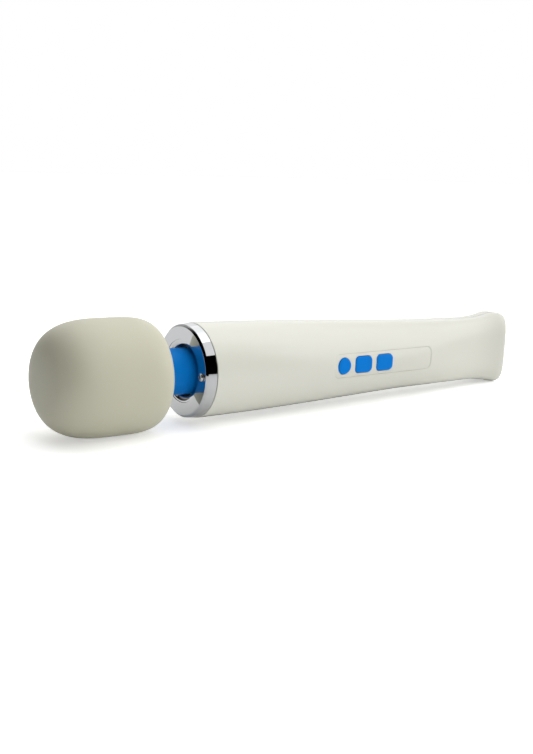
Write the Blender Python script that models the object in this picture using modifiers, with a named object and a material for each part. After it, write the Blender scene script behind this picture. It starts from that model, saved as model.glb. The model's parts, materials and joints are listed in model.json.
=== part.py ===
"""Handheld wand massager, lying on its side as on a table.

The wand's own axis runs from the tip of the head (station 0) to the end of the tail. Every
size along that axis is a station, measured from the tip, and every piece hangs from an empty
on the axis, so the whole wand takes its slight slope on the table from one parent.

World frame: +X from head to tail, the buttons face -Y, +Z up, the table at Z = 0.
"""

import math

import bmesh
import bpy
from mathutils import Matrix, Vector

# Driving dimensions, in metres.
LENGTH = 0.324
GAP = 0.0003

HEAD_RADIUS = 0.030
HEAD_WIDEST = 0.0354
HEAD_BACK_LENGTH = 0.0277
HEAD_NOSE_BULGE = (2.88, 3.44)
HEAD_BACK_BULGE = (4.3, 6.5)
COVER_WALL = 0.0041
COVER_MOUTH_RADIUS = 0.0150
CORE_WALL = 0.0026
CORE_SPLIT = 0.033
CORE_REAR = 0.0586
SPIGOT_END = 0.066

BEARING_OUTER = 0.008
BEARING_INNER_RACE = 0.0044
BEARING_OUTER_RACE = 0.0063
BEARING_WIDTH = 0.005
FRONT_BEARING = 0.0085
REAR_BEARING = 0.0523
SHAFT_RADIUS = 0.0025

WEIGHT_START = 0.021
WEIGHT_LENGTH = 0.022
WEIGHT_RADIUS = 0.016
WEIGHT_HUB = 0.0056

BOOT_RADIUS = 0.0124
BOOT_BEAD_RADIUS = 0.0142
BOOT_WALL = 0.0020
BOOT_FLANGE_RADIUS = 0.0168
BEND_UP_STATION = 0.0675
BEND_SIDE_STATION = 0.076

COLLAR_START = 0.0802
COLLAR_END = 0.0864
COLLAR_HOLE = 0.0136
COLLAR_LIP = 0.0170
COLLAR_FACE_EDGE = 0.0236
COLLAR_BEVEL_EDGE = 0.0247
COLLAR_RADIUS = 0.0255
COLLAR_SCREW_OFFSET = 0.0200

HANDLE_START = COLLAR_END + GAP
HANDLE_RADIUS = 0.0255
WAIST_RADIUS = 0.0200
WAIST_STATION = 0.300
FLARE_START = 0.293
FLARE_LENGTH = 0.026
FLARE_RISE = 0.0029
FLAT_START = 0.225
FLAT_LENGTH = 0.094
FLAT_SQUEEZE = 0.44
FLAT_BULGE = 4.2
SHELL_WALL = 0.0026
RIM_ROUND = 0.0022

PANEL_START = 0.1673
PANEL_END = 0.2469
PANEL_HEIGHT = 0.0138
PANEL_CORNER = 0.0034
PANEL_SINK = 0.0003
PANEL_WALL = 0.0016

BUTTON_TRAVEL = 0.0006
BUTTON_RISE = 0.0006
POWER_STATION = 0.1740
POWER_RADIUS = 0.0047
MINUS_STATION = 0.1890
PLUS_STATION = 0.2059
KEY_LENGTH = 0.0128
KEY_HEIGHT = 0.0095
KEY_CORNER = 0.0027

BOARD_FACE = 0.0131
BOARD_WALL = 0.0014
SWITCH_HEIGHT = 0.0032

MOTOR_START = 0.097
MOTOR_END = 0.155
MOTOR_RADIUS = 0.018

PLATE_START = 0.3212
SOCKET_START = 0.3105
SOCKET_RADIUS = 0.0045

FINE = 32
ROUND = 28
PLAIN = 20
WIRE_BEVEL = 2

# ---------------------------------------------------------------- scene and materials


def clear_scene():
    """Remove every object, so that the model starts from nothing."""
    for obj in list(bpy.data.objects):
        bpy.data.objects.remove(obj, do_unlink=True)


def new_collection(name):
    """A collection linked into the scene."""
    collection = bpy.data.collections.new(name)
    bpy.context.scene.collection.children.link(collection)
    return collection


def principled(name, colour, roughness, metallic=0.0):
    """A plain Principled material."""
    material = bpy.data.materials.new(name)
    material.use_nodes = True
    shader = material.node_tree.nodes["Principled BSDF"]
    shader.inputs["Base Color"].default_value = (*colour, 1.0)
    shader.inputs["Roughness"].default_value = roughness
    shader.inputs["Metallic"].default_value = metallic
    material.diffuse_color = (*colour, 1.0)
    return material


class Palette:
    """The finishes, each made once."""

    def __init__(self):
        self.silicone = principled("cream_silicone", (0.56, 0.55, 0.45), 0.6)
        self.shell = principled("cream_gloss_plastic", (0.74, 0.74, 0.66), 0.22)
        self.chrome = principled("chrome", (0.86, 0.87, 0.88), 0.06, 1.0)
        self.blue_rubber = principled("blue_rubber", (0.01, 0.15, 0.47), 0.45)
        self.blue_key = principled("blue_key_plastic", (0.01, 0.22, 0.62), 0.35)
        self.nylon = principled("white_nylon", (0.70, 0.70, 0.68), 0.5)
        self.steel = principled("steel", (0.55, 0.56, 0.58), 0.3, 1.0)
        self.brass = principled("brass", (0.70, 0.55, 0.26), 0.35, 1.0)
        self.copper = principled("copper", (0.72, 0.38, 0.22), 0.4, 1.0)
        self.ferrite = principled("ferrite", (0.05, 0.05, 0.05), 0.6)
        self.rubber = principled("black_rubber", (0.03, 0.03, 0.03), 0.7)
        self.board = principled("green_board", (0.03, 0.20, 0.09), 0.45)
        self.clear = principled("frosted_lens", (0.80, 0.82, 0.84), 0.3)
        self.red_wire = principled("red_wire", (0.50, 0.03, 0.03), 0.5)
        self.black_wire = principled("black_wire", (0.02, 0.02, 0.02), 0.5)


# ---------------------------------------------------------------- the axis and its empties


class Axes:
    """The empties on the wand's axis: the sloping root, and one on each joint."""

    def __init__(self, parts):
        self.parts = parts
        self.wand = self.empty("wand_axis", None, 0.0)
        self.wand.rotation_euler = (0.0, SLOPE, 0.0)
        self.wand.location = wand_origin()
        self.bend_side = self.empty("neck_bend_side_axis", self.wand, BEND_SIDE_STATION)
        self.bend_up = self.empty("neck_bend_up_axis", self.bend_side, BEND_UP_STATION)
        self.weight_spin = self.empty("weight_spin_axis", self.bend_up, WEIGHT_START)
        self.motor_spin = self.empty("motor_spin_axis", self.wand, MOTOR_START)

    def empty(self, name, parent, station):
        """An empty on the axis, at a station, under a parent empty."""
        empty = bpy.data.objects.new(name, None)
        empty.empty_display_size = 0.01
        self.parts.objects.link(empty)
        if parent is not None:
            empty.parent = parent
            empty.location = (station - self.station(parent), 0.0, 0.0)
        return empty

    def station(self, empty):
        """The station of an empty, summed along its parents."""
        total = 0.0
        while empty is not None and empty != self.wand:
            total += empty.location.x
            empty = empty.parent
        return total

    def hang(self, obj, parent, station=0.0, y=0.0, z=0.0):
        """Hang an object from an empty, with its own origin at a place in the wand."""
        obj.parent = parent
        obj.location = (station - self.station(parent), y, z)
        return obj


def wand_origin():
    """World place of the wand's tip, so that the resting wand is centred over the origin."""
    end_top = Vector((LENGTH, 0.0, half_height(LENGTH) - RIM_ROUND))
    turn = Matrix.Rotation(SLOPE, 3, "Y")
    far = (turn @ end_top).x
    near = min((turn @ Vector((s, 0.0, -r))).x for s, r in head_outline(0.0))
    return Vector((-(far + near) / 2, 0.0, -lowest(SLOPE, head_outline(0.0))))


def lowest(slope, outline):
    """Height of the lowest facet of a turned outline, below the tip of the sloping wand."""
    facet = math.cos(math.pi / ROUND)
    return min(-s * math.sin(slope) - r * facet * math.cos(slope) for s, r in outline)


def resting_slope():
    """The slope at which the head and the flared tail touch the table together."""
    facet = math.sin(math.pi / 2 - math.pi / FINE) ** (2 / FLAT_BULGE)
    tail = [(s, half_height(s) * facet) for s in handle_stations() if s > FLARE_START]
    slope = 0.02
    for _ in range(40):
        drop = min(-s * math.sin(slope) - r * math.cos(slope) for s, r in tail)
        slope += (drop - lowest(slope, head_outline(0.0))) / LENGTH
    return slope


# ---------------------------------------------------------------- outlines


def smooth(t):
    """Smooth step from 0 to 1."""
    t = min(max(t, 0.0), 1.0)
    return t * t * (3 - 2 * t)


def bulged(length, radius, bulge, count):
    """Points (u, r) of a quarter of a bulged outline, from the pole to the widest place."""
    points = []
    for step in range(count + 1):
        turn = math.pi / 2 * step / count
        along = length * math.cos(turn) ** (2 / bulge[0])
        points.append((along, radius * math.sin(turn) ** (2 / bulge[1])))
    return points


def head_outline(inset, count=7, back_until=0.0):
    """Points (station, radius) of the head's outline, inset by a wall, from tip to rear."""
    radius = HEAD_RADIUS - inset
    nose = bulged(HEAD_WIDEST - inset, radius, HEAD_NOSE_BULGE, count)
    back = bulged(HEAD_BACK_LENGTH - inset, radius, HEAD_BACK_BULGE, count)
    points = [(HEAD_WIDEST - u, r) for u, r in nose]
    points += [(HEAD_WIDEST + u, r) for u, r in reversed(back[:-1]) if r > back_until]
    return points


def half_height(station):
    """Half of the handle's height, across the button face, at a station."""
    taper = smooth((station - HANDLE_START) / (WAIST_STATION - HANDLE_START))
    flare = min(max((station - FLARE_START) / FLARE_LENGTH, 0.0), 1.0) ** 2.2
    return HANDLE_RADIUS - (HANDLE_RADIUS - WAIST_RADIUS) * taper + FLARE_RISE * flare


def flatness(station):
    """How far the round handle has turned into the flattened tail, from 0 to 1."""
    return smooth((station - FLAT_START) / FLAT_LENGTH)


def half_depth(station):
    """Half of the handle's depth, from the button face to the back, at a station."""
    return half_height(station) * (1 - FLAT_SQUEEZE * flatness(station))


def rim_inset(station):
    """How far the rounded rim at the tail pulls the outside in."""
    past = station - (LENGTH - RIM_ROUND)
    if past <= 0:
        return 0.0
    return RIM_ROUND - math.sqrt(max(RIM_ROUND**2 - past**2, 0.0))


def handle_section(station, inset, count=FINE):
    """One closed section of the handle, with a flat facet up and down."""
    height = half_height(station) - rim_inset(station) - inset
    depth = half_depth(station) - rim_inset(station) - inset
    power = 2 / (2 + (FLAT_BULGE - 2) * flatness(station))
    section = []
    for step in range(count):
        turn = 2 * math.pi * (step + 0.5) / count
        y = math.copysign(depth * abs(math.cos(turn)) ** power, math.cos(turn))
        z = math.copysign(height * abs(math.sin(turn)) ** power, math.sin(turn))
        section.append(Vector((station, y, z)))
    return section


def handle_stations():
    """Stations along the handle, close together where its section changes."""
    stations = [HANDLE_START, 0.118, 0.150, 0.182, 0.214, 0.242, 0.266, 0.284]
    stations += [FLARE_START + 0.0075 * step for step in range(4)]
    rim = [LENGTH - RIM_ROUND * (1 - math.sin(math.pi / 4 * step)) for step in range(3)]
    return stations + rim


# ---------------------------------------------------------------- mesh makers


class Maker:
    """Makes objects in the parts collection or, for cutters, in the cutters collection."""

    def __init__(self, parts, cutters):
        self.parts = parts
        self.cutters = cutters

    def add(self, name, mesh, material=None):
        """An object for a mesh: a part where it has a material, and a cutter where not."""
        obj = bpy.data.objects.new(name, mesh)
        if material is None:
            obj.hide_render = True
            obj.display_type = "WIRE"
            self.cutters.objects.link(obj)
        else:
            mesh.materials.append(material)
            self.parts.objects.link(obj)
        return obj

    def turned(self, name, outline, material, segments=PLAIN):
        """A piece turned about the wand's axis from points (station, radius).

        An outline that starts and ends on the axis is left open there, and any other is
        closed. The turn starts half a segment round, so that a flat facet faces down.
        """
        closed = outline[0][1] > 0 or outline[-1][1] > 0
        area = sum(
            a[1] * b[0] - b[1] * a[0] for a, b in zip(outline, outline[1:] + outline[:1])
        )
        points = list(outline) if area < 0 else list(reversed(outline))
        shape = bmesh.new()
        corners = [shape.verts.new((radius, 0.0, station)) for station, radius in points]
        for first, second in zip(corners, corners[1:]):
            shape.edges.new((first, second))
        if closed:
            shape.edges.new((corners[-1], corners[0]))
        mesh = self.finish(shape, name)
        obj = self.add(name, mesh, material)
        screw = obj.modifiers.new("turn", "SCREW")
        screw.axis = "Z"
        screw.steps = segments
        screw.render_steps = segments
        screw.use_merge_vertices = True
        screw.merge_threshold = 0.00001
        screw.use_smooth_shade = True
        obj.rotation_mode = "ZYX"
        obj.rotation_euler = (0.0, math.pi / 2, math.pi / segments)
        return obj

    def loft(self, name, sections, material, looped=False):
        """A loft through closed sections: capped at its ends, or looped back to its start."""
        shape = bmesh.new()
        rings = [[shape.verts.new(point) for point in section] for section in sections]
        pairs = list(zip(rings, rings[1:] + rings[:1] if looped else rings[1:]))
        for near, far in pairs:
            for index, corner in enumerate(near):
                following = (index + 1) % len(near)
                shape.faces.new((corner, near[following], far[following], far[index]))
        if not looped:
            shape.faces.new(rings[0])
            shape.faces.new(rings[-1])
        bmesh.ops.recalc_face_normals(shape, faces=shape.faces)
        return self.add(name, self.finish(shape, name), material)

    def rod(self, name, radius, start, end, material=None, segments=PLAIN, axis="X"):
        """A cylinder along the wand (X) or across it (Y), between two places on its axis."""
        shape = bmesh.new()
        turn = Matrix.Rotation(math.pi / 2, 4, "Y" if axis == "X" else "X")
        middle = (start + end) / 2
        shift = Vector((middle, 0, 0)) if axis == "X" else Vector((0, middle, 0))
        bmesh.ops.create_cone(
            shape,
            cap_ends=True,
            segments=segments,
            radius1=radius,
            radius2=radius,
            depth=end - start,
            matrix=Matrix.Translation(shift)
            @ turn
            @ Matrix.Rotation(math.pi / segments, 4, "Z"),
        )
        return self.add(name, self.finish(shape, name), material)

    def block(self, name, low, high, material=None, corner=0.0, sides="Y", steps=4):
        """A box between two corners, with its edges along one direction rounded."""
        shape = bmesh.new()
        low, high = Vector(low), Vector(high)
        size = Matrix.Diagonal((*(high - low), 1.0))
        bmesh.ops.create_cube(
            shape, size=1.0, matrix=Matrix.Translation((low + high) / 2) @ size
        )
        if corner > 0:
            way = "XYZ".index(sides)
            edges = [
                edge
                for edge in shape.edges
                if abs((edge.verts[0].co - edge.verts[1].co)[way]) > 1e-6
            ]
            bmesh.ops.bevel(
                shape,
                geom=edges,
                offset=corner,
                segments=steps,
                profile=0.5,
                affect="EDGES",
            )
        return self.add(name, self.finish(shape, name), material)

    def tube(self, name, points, radius, material):
        """A wire: a curve through points, with filled caps."""
        curve = bpy.data.curves.new(name, "CURVE")
        curve.dimensions = "3D"
        curve.bevel_depth = radius
        curve.bevel_resolution = WIRE_BEVEL
        curve.use_fill_caps = True
        spline = curve.splines.new("POLY")
        spline.points.add(len(points) - 1)
        for knot, point in zip(spline.points, points):
            knot.co = (*point, 1.0)
        curve.materials.append(material)
        obj = bpy.data.objects.new(name, curve)
        self.parts.objects.link(obj)
        return obj

    @staticmethod
    def finish(shape, name):
        """Turn a bmesh into a mesh with smooth faces and sharp corners."""
        mesh = bpy.data.meshes.new(name)
        shape.to_mesh(mesh)
        shape.free()
        if mesh.polygons:
            mesh.shade_smooth()
            mesh.set_sharp_from_angle(angle=math.radians(35))
        return mesh


def combine(obj, other, operation):
    """Add an exact Boolean of another object to an object."""
    modifier = obj.modifiers.new(f"{operation.lower()}_{other.name}", "BOOLEAN")
    modifier.operation = operation
    modifier.object = other
    modifier.solver = "EXACT"


def ring(inner, outer, start, end):
    """The outline of a plain ring."""
    return [(start, inner), (start, outer), (end, outer), (end, inner)]


# ---------------------------------------------------------------- the head


def make_head(make, axes, finish):
    """The soft cover, the two halves of its core and the two bearings' outer races."""
    inner = head_outline(COVER_WALL, 5, COVER_MOUTH_RADIUS)
    outer = head_outline(0.0, back_until=COVER_MOUTH_RADIUS)
    mouth = COVER_MOUTH_RADIUS - 0.0004
    rear = HEAD_WIDEST + HEAD_BACK_LENGTH
    lip = [(rear - 0.0004, mouth + 0.0001), (rear - 0.0014, mouth)]
    lip += [(CORE_REAR + GAP, mouth), (CORE_REAR + GAP, mouth + 0.0014)]
    cover = make.turned(
        "head_cover", outer + lip + list(reversed(inner)), finish.silicone, ROUND
    )
    axes.hang(cover, axes.bend_up)

    skin = COVER_WALL + 0.0004
    front = [point for point in head_outline(skin, 5) if point[0] < CORE_SPLIT]
    waist = HEAD_RADIUS - skin - 0.0002
    pocket = BEARING_OUTER + GAP
    front += [(CORE_SPLIT, waist), (CORE_SPLIT, waist - CORE_WALL)]
    front += [(0.018, 0.0205), (0.0135, 0.016), (0.0135, pocket)]
    front += [(FRONT_BEARING - GAP, pocket), (FRONT_BEARING - GAP, 0.0)]
    axes.hang(make.turned("head_core_front", front, finish.nylon), axes.bend_up)

    start = CORE_SPLIT + GAP
    back = [(start, waist - CORE_WALL), (start, waist)]
    back += [p for p in head_outline(skin, 5, 0.013) if p[0] > HEAD_WIDEST - 0.001]
    back += [(CORE_REAR, 0.0150), (CORE_REAR, 0.0100), (SPIGOT_END, 0.0100)]
    shoulder = REAR_BEARING + BEARING_WIDTH + GAP
    back += [(SPIGOT_END, 0.0066), (shoulder, 0.0066), (shoulder, pocket)]
    back += [(0.0505, pocket), (0.0505, 0.016), (0.047, 0.0205)]
    axes.hang(make.turned("head_core_rear", back, finish.nylon), axes.bend_up)

    for name, place in (("front", FRONT_BEARING), ("rear", REAR_BEARING)):
        outline = ring(BEARING_OUTER_RACE, BEARING_OUTER, place, place + BEARING_WIDTH)
        race = make.turned(f"{name}_bearing_outer_race", outline, finish.steel)
        axes.hang(race, axes.bend_up)


def make_weight_drive(make, axes, finish):
    """The shaft that spins in the head, with its off-centre weight and inner races."""
    shaft = make.rod("head_shaft", SHAFT_RADIUS, 0.0089, 0.068, finish.steel)
    axes.hang(shaft, axes.weight_spin)
    for name, place in (("front", FRONT_BEARING), ("rear", REAR_BEARING)):
        outline = ring(
            SHAFT_RADIUS + GAP, BEARING_INNER_RACE, place, place + BEARING_WIDTH
        )
        race = make.turned(f"{name}_bearing_inner_race", outline, finish.steel)
        axes.hang(race, axes.weight_spin)

    end = WEIGHT_START + WEIGHT_LENGTH
    weight = make.rod("eccentric_weight", WEIGHT_RADIUS, WEIGHT_START, end, finish.brass)
    hub = make.rod("weight_hub_core", WEIGHT_HUB, WEIGHT_START - 0.002, end + 0.002)
    bore = make.rod("weight_bore", SHAFT_RADIUS + GAP, WEIGHT_START - 0.01, end + 0.01)
    reach = 2 * WEIGHT_RADIUS
    half = make.block(
        "weight_half_cut", (WEIGHT_START - 0.01, -reach, 0), (end + 0.01, reach, reach)
    )
    combine(weight, half, "DIFFERENCE")
    combine(weight, hub, "UNION")
    combine(weight, bore, "DIFFERENCE")
    for obj in (weight, hub, bore, half):
        axes.hang(obj, axes.weight_spin)


# ---------------------------------------------------------------- the neck


def boot_outline():
    """The flexible blue sleeve: a bead in the head's mouth, a barrel, a flange in the collar."""
    start = CORE_REAR + 0.0004
    bore = BOOT_RADIUS - BOOT_WALL
    flange = (COLLAR_START + 0.0034, COLLAR_START + 0.0062)
    outside = [(start, BOOT_BEAD_RADIUS - 0.0002), (start + 0.0006, BOOT_BEAD_RADIUS)]
    outside += [(start + 0.0020, BOOT_BEAD_RADIUS - 0.0003)]
    outside += [(start + 0.0034, BOOT_RADIUS + 0.0003), (start + 0.0046, BOOT_RADIUS)]
    outside += [(flange[0], BOOT_RADIUS), (flange[0], BOOT_FLANGE_RADIUS)]
    return outside + [(flange[1], BOOT_FLANGE_RADIUS), (flange[1], bore), (start, bore)]


def helix(radius, start, end, turns, per_turn=10):
    """Points along a coil about the axis."""
    steps = turns * per_turn
    points = []
    for step in range(steps + 1):
        turn = 2 * math.pi * step / per_turn
        place = start + (end - start) * step / steps
        points.append((place, radius * math.cos(turn), radius * math.sin(turn)))
    return points


def make_neck(make, axes, finish):
    """The blue sleeve and, inside it, the spring that carries the head."""
    boot = make.turned("neck_boot", boot_outline(), finish.blue_rubber, ROUND)
    axes.hang(boot, axes.bend_side)
    coil = helix(0.0091, SPIGOT_END + 0.0013, COLLAR_START + 0.0053, 4)
    spring = make.tube("neck_spring", coil, 0.0009, finish.steel)
    axes.hang(spring, axes.bend_side)


# ---------------------------------------------------------------- the collar


def make_collar(make, axes, finish):
    """The chrome collar, the plate behind it and the two screws through both."""
    face = COLLAR_START + 0.0030
    outline = [(COLLAR_START, COLLAR_LIP), (COLLAR_START, COLLAR_FACE_EDGE)]
    outline += [(COLLAR_START + 0.0010, COLLAR_BEVEL_EDGE)]
    outline += [(COLLAR_END, COLLAR_RADIUS), (COLLAR_END, 0.0224), (0.0920, 0.0224)]
    outline += [(0.0920, 0.0209), (face, 0.0209), (face, COLLAR_HOLE)]
    outline += [(COLLAR_START + 0.0025, COLLAR_HOLE), (COLLAR_START + 0.0014, 0.0140)]
    outline += [(COLLAR_START + 0.0007, 0.0149), (COLLAR_START + 0.0003, 0.0168)]
    collar = make.turned("collar", outline, finish.chrome, ROUND)
    axes.hang(collar, axes.wand)

    plate = make.turned(
        "neck_plate", ring(0.0066, 0.0205, 0.0868, 0.0908), finish.nylon
    )
    axes.hang(plate, axes.wand)

    for side, name in ((-1, "near"), (1, "far")):
        drill = make.rod(f"collar_hole_{name}", 0.0017, 0.070, 0.100, segments=16)
        axes.hang(drill, axes.wand, y=side * COLLAR_SCREW_OFFSET)
        combine(collar, drill, "DIFFERENCE")
        combine(plate, drill, "DIFFERENCE")
        head_start = COLLAR_START - GAP - 0.0015
        outline = [(head_start, 0.0), (head_start, 0.0012), (head_start + 0.0004, 0.0018)]
        outline += [(head_start + 0.0010, 0.0021), (COLLAR_START - GAP, 0.0021)]
        outline += [(COLLAR_START - GAP, 0.0014), (0.0905, 0.0014), (0.0905, 0.0)]
        screw = make.turned(f"collar_screw_{name}", outline, finish.steel, 16)
        slot = 0.0004
        for tag, size in (("up", (slot, 0.0013)), ("across", (0.0013, slot))):
            blade = make.block(
                f"collar_slot_{tag}_{name}",
                (head_start - 0.001, -size[0], -size[1]),
                (head_start + 0.0009, size[0], size[1]),
            )
            axes.hang(blade, axes.wand, y=side * COLLAR_SCREW_OFFSET)
            combine(screw, blade, "DIFFERENCE")
        axes.hang(screw, axes.wand, y=side * COLLAR_SCREW_OFFSET)


# ---------------------------------------------------------------- the handle shells


SHELL_SCREWS = (
    ("front_upper", 0.170, 0.0135),
    ("front_lower", 0.170, -0.0135),
    ("rear_upper", 0.262, 0.0110),
    ("rear_lower", 0.262, -0.0110),
)
SCREW_SEAT = 0.0070


def shell_sections():
    """Sections of the hollow handle: along the outside, over the rim, back along the inside."""
    outside = [handle_section(s, 0.0) for s in handle_stations()]
    ledge = PLATE_START - GAP
    inside = [flat_ring(LENGTH, 0.0031), flat_ring(ledge, 0.0031)]
    inside += [flat_ring(ledge, 0.0046), flat_ring(ledge - 0.002, 0.0046)]
    inside += [flat_ring(ledge - 0.0035, SHELL_WALL)]
    back = [s for s in handle_stations()[::2] if s < ledge - 0.006]
    inside += [handle_section(s, SHELL_WALL) for s in reversed(back)]
    return outside + inside


def flat_ring(station, inset):
    """A section near the tail that keeps the size it has where the rim begins to round."""
    size = min(station, LENGTH - RIM_ROUND)
    return [Vector((station, p.y, p.z)) for p in handle_section(size, inset)]


def envelope(make, axes, name):
    """A solid a little inside the handle's outside, which trims what stands in the shells."""
    stations = [s for s in handle_stations() if s <= LENGTH - RIM_ROUND]
    solid = make.loft(name, [handle_section(s, 0.0012) for s in stations], None)
    return axes.hang(solid, axes.wand)


def screw_post(make, axes, name, radius, place, start, end, trim):
    """A post that stands in a shell for one screw, trimmed to the shell's inside."""
    station, z = place
    post = make.rod(name, radius, start, end, segments=16, axis="Y")
    axes.hang(post, axes.wand, station, 0.0, z)
    combine(post, trim, "INTERSECT")
    return post


def make_shells(make, axes, finish):
    """The two halves of the handle, with a post for each screw, and the four screws."""
    far = 2 * HANDLE_RADIUS
    seam = GAP / 2
    trim = envelope(make, axes, "shell_trim")
    shells = {}
    for name, side in (("front_shell", -1), ("rear_shell", 1)):
        shell = make.loft(name, shell_sections(), finish.shell, looped=True)
        axes.hang(shell, axes.wand)
        low = -seam if side < 0 else -far
        high = far if side < 0 else seam
        cut = make.block(f"{name}_half_cut", (0.05, low, -far), (0.40, high, far))
        axes.hang(cut, axes.wand)
        combine(shell, cut, "DIFFERENCE")
        shells[name] = shell

    for name, station, z in SHELL_SCREWS:
        place = (station, z)
        nut = screw_post(
            make, axes, f"nut_post_{name}", 0.0032, place, -far, -0.0005, trim
        )
        combine(shells["front_shell"], nut, "UNION")
        seat = screw_post(make, axes, f"seat_post_{name}", 0.0044, place, 0.0005, far, trim)
        combine(shells["rear_shell"], seat, "UNION")

    for name, station, z in SHELL_SCREWS:
        pilot = make.rod(
            f"pilot_{name}", 0.0017, -0.0105, far, segments=16, axis="Y"
        )
        counterbore = make.rod(
            f"counterbore_{name}", 0.0034, SCREW_SEAT, far, segments=16, axis="Y"
        )
        for tool in (pilot, counterbore):
            axes.hang(tool, axes.wand, station, 0.0, z)
            combine(shells["rear_shell"], tool, "DIFFERENCE")
        combine(shells["front_shell"], pilot, "DIFFERENCE")
        head = SCREW_SEAT + GAP
        outline = [(-head - 0.0022, 0.0), (-head - 0.0022, 0.0022), (-head - 0.0014, 0.0029)]
        outline += [(-head, 0.0029), (-head, 0.0013), (0.0098, 0.0013), (0.0100, 0.0)]
        screw = make.turned(f"shell_screw_{name}", outline, finish.steel, 16)
        screw.rotation_mode = "XYZ"
        screw.rotation_euler = (math.pi / 2, 0.0, 0.0)
        axes.hang(screw, axes.wand, station, 0.0, z)

    return shells


# ---------------------------------------------------------------- the button panel


def panel_face(station):
    """Distance of the panel's outside from the wand's axis."""
    return half_depth(station) - PANEL_SINK


def panel_prism(make, axes, name, shrink):
    """A prism with the panel's outline, right through the button side."""
    half = PANEL_HEIGHT / 2 - shrink
    prism = make.block(
        name,
        (PANEL_START + shrink, -0.04, -half),
        (PANEL_END - shrink, -0.010, half),
        corner=PANEL_CORNER - shrink,
    )
    return axes.hang(prism, axes.wand)


def key_prism(make, name, station, depth, grow=0.0, material=None):
    """A prism with a key's outline: round at the power key, rounded oblong elsewhere."""
    near, far = depth
    if station == POWER_STATION:
        return make.rod(name, POWER_RADIUS + grow, near, far, material, PLAIN, "Y")
    length = KEY_LENGTH / 2 + grow
    height = KEY_HEIGHT / 2 + grow
    return make.block(
        name,
        (-length, near, -height),
        (length, far, height),
        material,
        corner=KEY_CORNER + grow,
    )


KEYS = (("power", POWER_STATION), ("minus", MINUS_STATION), ("plus", PLUS_STATION))


def make_panel(make, axes, finish, front_shell):
    """The panel let into the front shell, with a hole for each key."""
    combine(front_shell, panel_prism(make, axes, "panel_opening", 0.0), "DIFFERENCE")
    stations = [PANEL_START - 0.004 + 0.022 * step for step in range(5)]
    outer = [handle_section(s, PANEL_SINK) for s in stations]
    inner = [handle_section(s, PANEL_SINK + PANEL_WALL) for s in reversed(stations)]
    panel = make.loft("button_panel", outer + inner, finish.shell, looped=True)
    axes.hang(panel, axes.wand)
    combine(panel, panel_prism(make, axes, "panel_outline", GAP), "INTERSECT")
    for name, station in KEYS:
        hole = key_prism(make, f"{name}_key_hole", station, (-0.03, -0.01), 0.00035)
        axes.hang(hole, axes.wand, station)
        combine(panel, hole, "DIFFERENCE")


def make_keys(make, axes, finish):
    """The three blue keys, each with a flange under the panel and a stem over its switch."""
    switch_top = BOARD_FACE + GAP + SWITCH_HEIGHT
    for name, station in KEYS:
        face = panel_face(station)
        top = face + BUTTON_RISE
        under = face - PANEL_WALL - 0.0011
        axis = axes.empty(f"{name}_key_axis", axes.wand, station)
        key = key_prism(
            make, f"{name}_key", station, (-top, -under + 0.0005), 0.0, finish.blue_key
        )
        crown = key.modifiers.new("crown", "BEVEL")
        crown.width = 0.0004
        crown.segments = 1
        crown.limit_method = "ANGLE"
        crown.angle_limit = math.radians(60)
        flange = key_prism(
            make, f"{name}_key_flange", station, (-under, -under + 0.0012), 0.0011
        )
        stem = make.rod(
            f"{name}_key_stem",
            0.0019,
            -under + 0.0003,
            -switch_top - BUTTON_TRAVEL - GAP,
            segments=16,
            axis="Y",
        )
        combine(key, flange, "UNION")
        combine(key, stem, "UNION")
        for obj in (key, flange, stem):
            axes.hang(obj, axis, station)


def make_electronics(make, axes, finish):
    """The circuit board with a switch under each key and a light guide under the panel."""
    board = make.block(
        "circuit_board",
        (0.160, -BOARD_FACE, -0.008),
        (0.255, -BOARD_FACE + BOARD_WALL, 0.008),
        finish.board,
        corner=0.001,
        steps=2,
    )
    axes.hang(board, axes.wand)
    base = -BOARD_FACE - GAP
    for name, station in KEYS:
        switch = make.block(
            f"{name}_switch",
            (-0.003, base - SWITCH_HEIGHT + 0.0008, -0.003),
            (0.003, base, 0.003),
            finish.ferrite,
            corner=0.0004,
            steps=1,
        )
        plunger = make.rod(
            f"{name}_switch_cap",
            0.0016,
            base - SWITCH_HEIGHT,
            base - 0.0005,
            segments=16,
            axis="Y",
        )
        combine(switch, plunger, "UNION")
        for obj in (switch, plunger):
            axes.hang(obj, axes.wand, station)
    guide = make.block(
        "light_guide",
        (0.218, base - 0.0036, -0.002),
        (0.242, base, 0.002),
        finish.clear,
        corner=0.0006,
        steps=2,
    )
    axes.hang(guide, axes.wand)


# ---------------------------------------------------------------- the motor


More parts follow.
